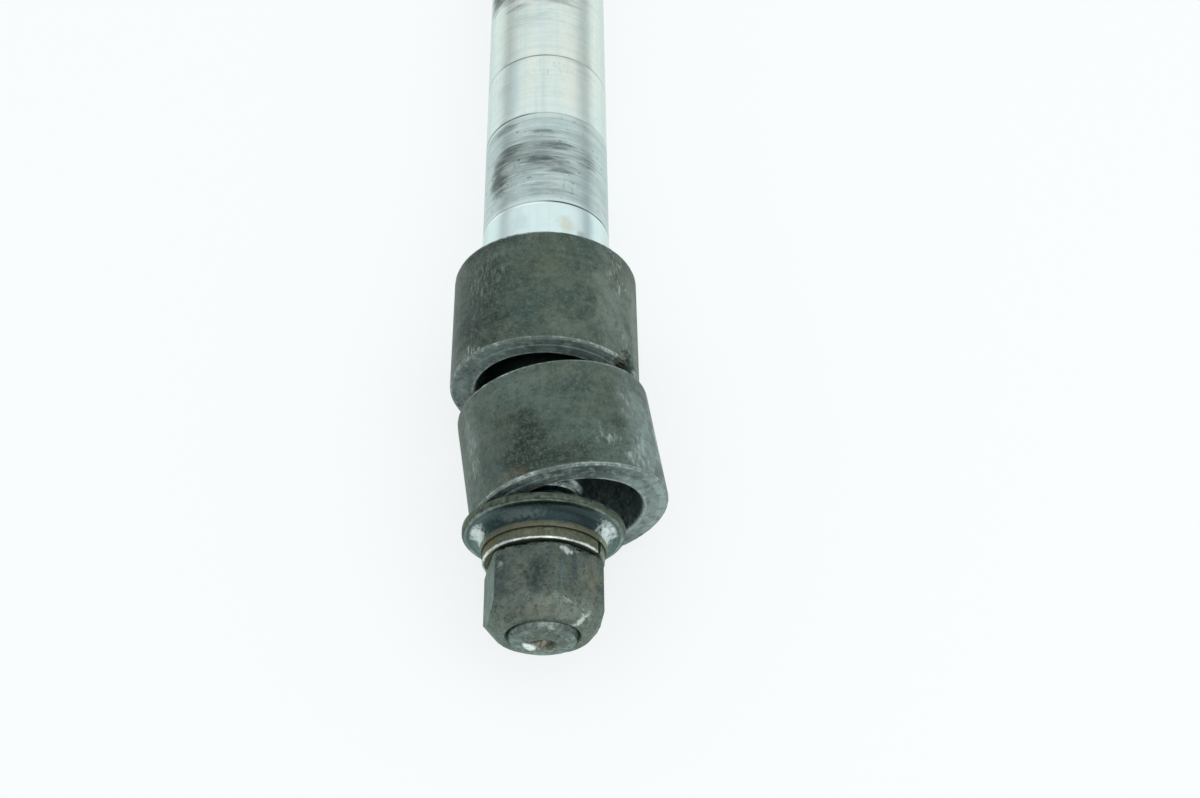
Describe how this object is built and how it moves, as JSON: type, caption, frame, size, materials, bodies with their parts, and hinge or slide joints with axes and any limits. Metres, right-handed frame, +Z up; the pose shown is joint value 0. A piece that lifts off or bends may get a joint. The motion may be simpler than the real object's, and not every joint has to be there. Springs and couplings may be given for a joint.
{
  "type": "front wheel axle",
  "caption": "Steel front wheel axle with a headed ground journal, two loose spacer collars, stepped washer, split spring washer and tall hexagon nut on a threaded stud.",
  "frame": {"origin": "on the centreline, in the face under the head that the wheel stack is pulled against", "axes": "+Y along the shaft from the nut end towards the head, +Z up as the axle lies on a bench, +X to the right seen from the nut"},
  "size_m": [0.0394, 0.2449, 0.035],
  "materials": {
    "ground_steel": "zinc plated and ground, bright with grease stains and wear bands",
    "collar_steel": "dark matte phosphate, mottled, with worn bright edges",
    "washer_steel": "dull plated steel, brown on the rim and bright in the cove",
    "spring_steel": "lightly rusted spring steel with bright cut edges",
    "nut_steel": "dark grey steel with worn corners"
  },
  "bodies": {
    "axle": {"axle_shaft": "ground_steel"},
    "inner_collar": {"inner_collar": "collar_steel"},
    "outer_collar": {"outer_collar": "collar_steel"},
    "spring_washer": {"spring_washer": "spring_steel"},
    "stepped_washer": {"stepped_washer": "washer_steel"},
    "axle_nut": {"axle_nut": "nut_steel"}
  },
  "joints": [
    {"name": "inner_collar_slide", "type": "slide", "parent": "axle", "child": "inner_collar", "axis": [0, 1, 0], "range_m": [-0.001, 0.154]},
    {"name": "outer_collar_rock", "type": "hinge", "parent": "axle", "child": "outer_collar", "pos_m": [0, -0.17333, 0], "axis": [0, 0, -1], "range_deg": [0, 17.04]},
    {"name": "lock_washer_travel", "type": "slide", "parent": "axle", "child": "spring_washer", "axis": [0, -1, 0], "range_m": [0, 0.01]},
    {"name": "nut_turn", "type": "hinge", "parent": "spring_washer", "child": "axle_nut", "pos_m": [0, -0.2205, 0], "axis": [0, -1, 0], "range_deg": [0, 2400]},
    {"name": "stepped_washer_spin", "type": "hinge", "parent": "spring_washer", "child": "stepped_washer", "pos_m": [0, -0.2095, 0], "axis": [0, -1, 0], "continuous": true}
  ],
  "couplings": [
    {"joint": "nut_turn", "follows": "lock_washer_travel", "rad_per_m": 4188.8}
  ]
}
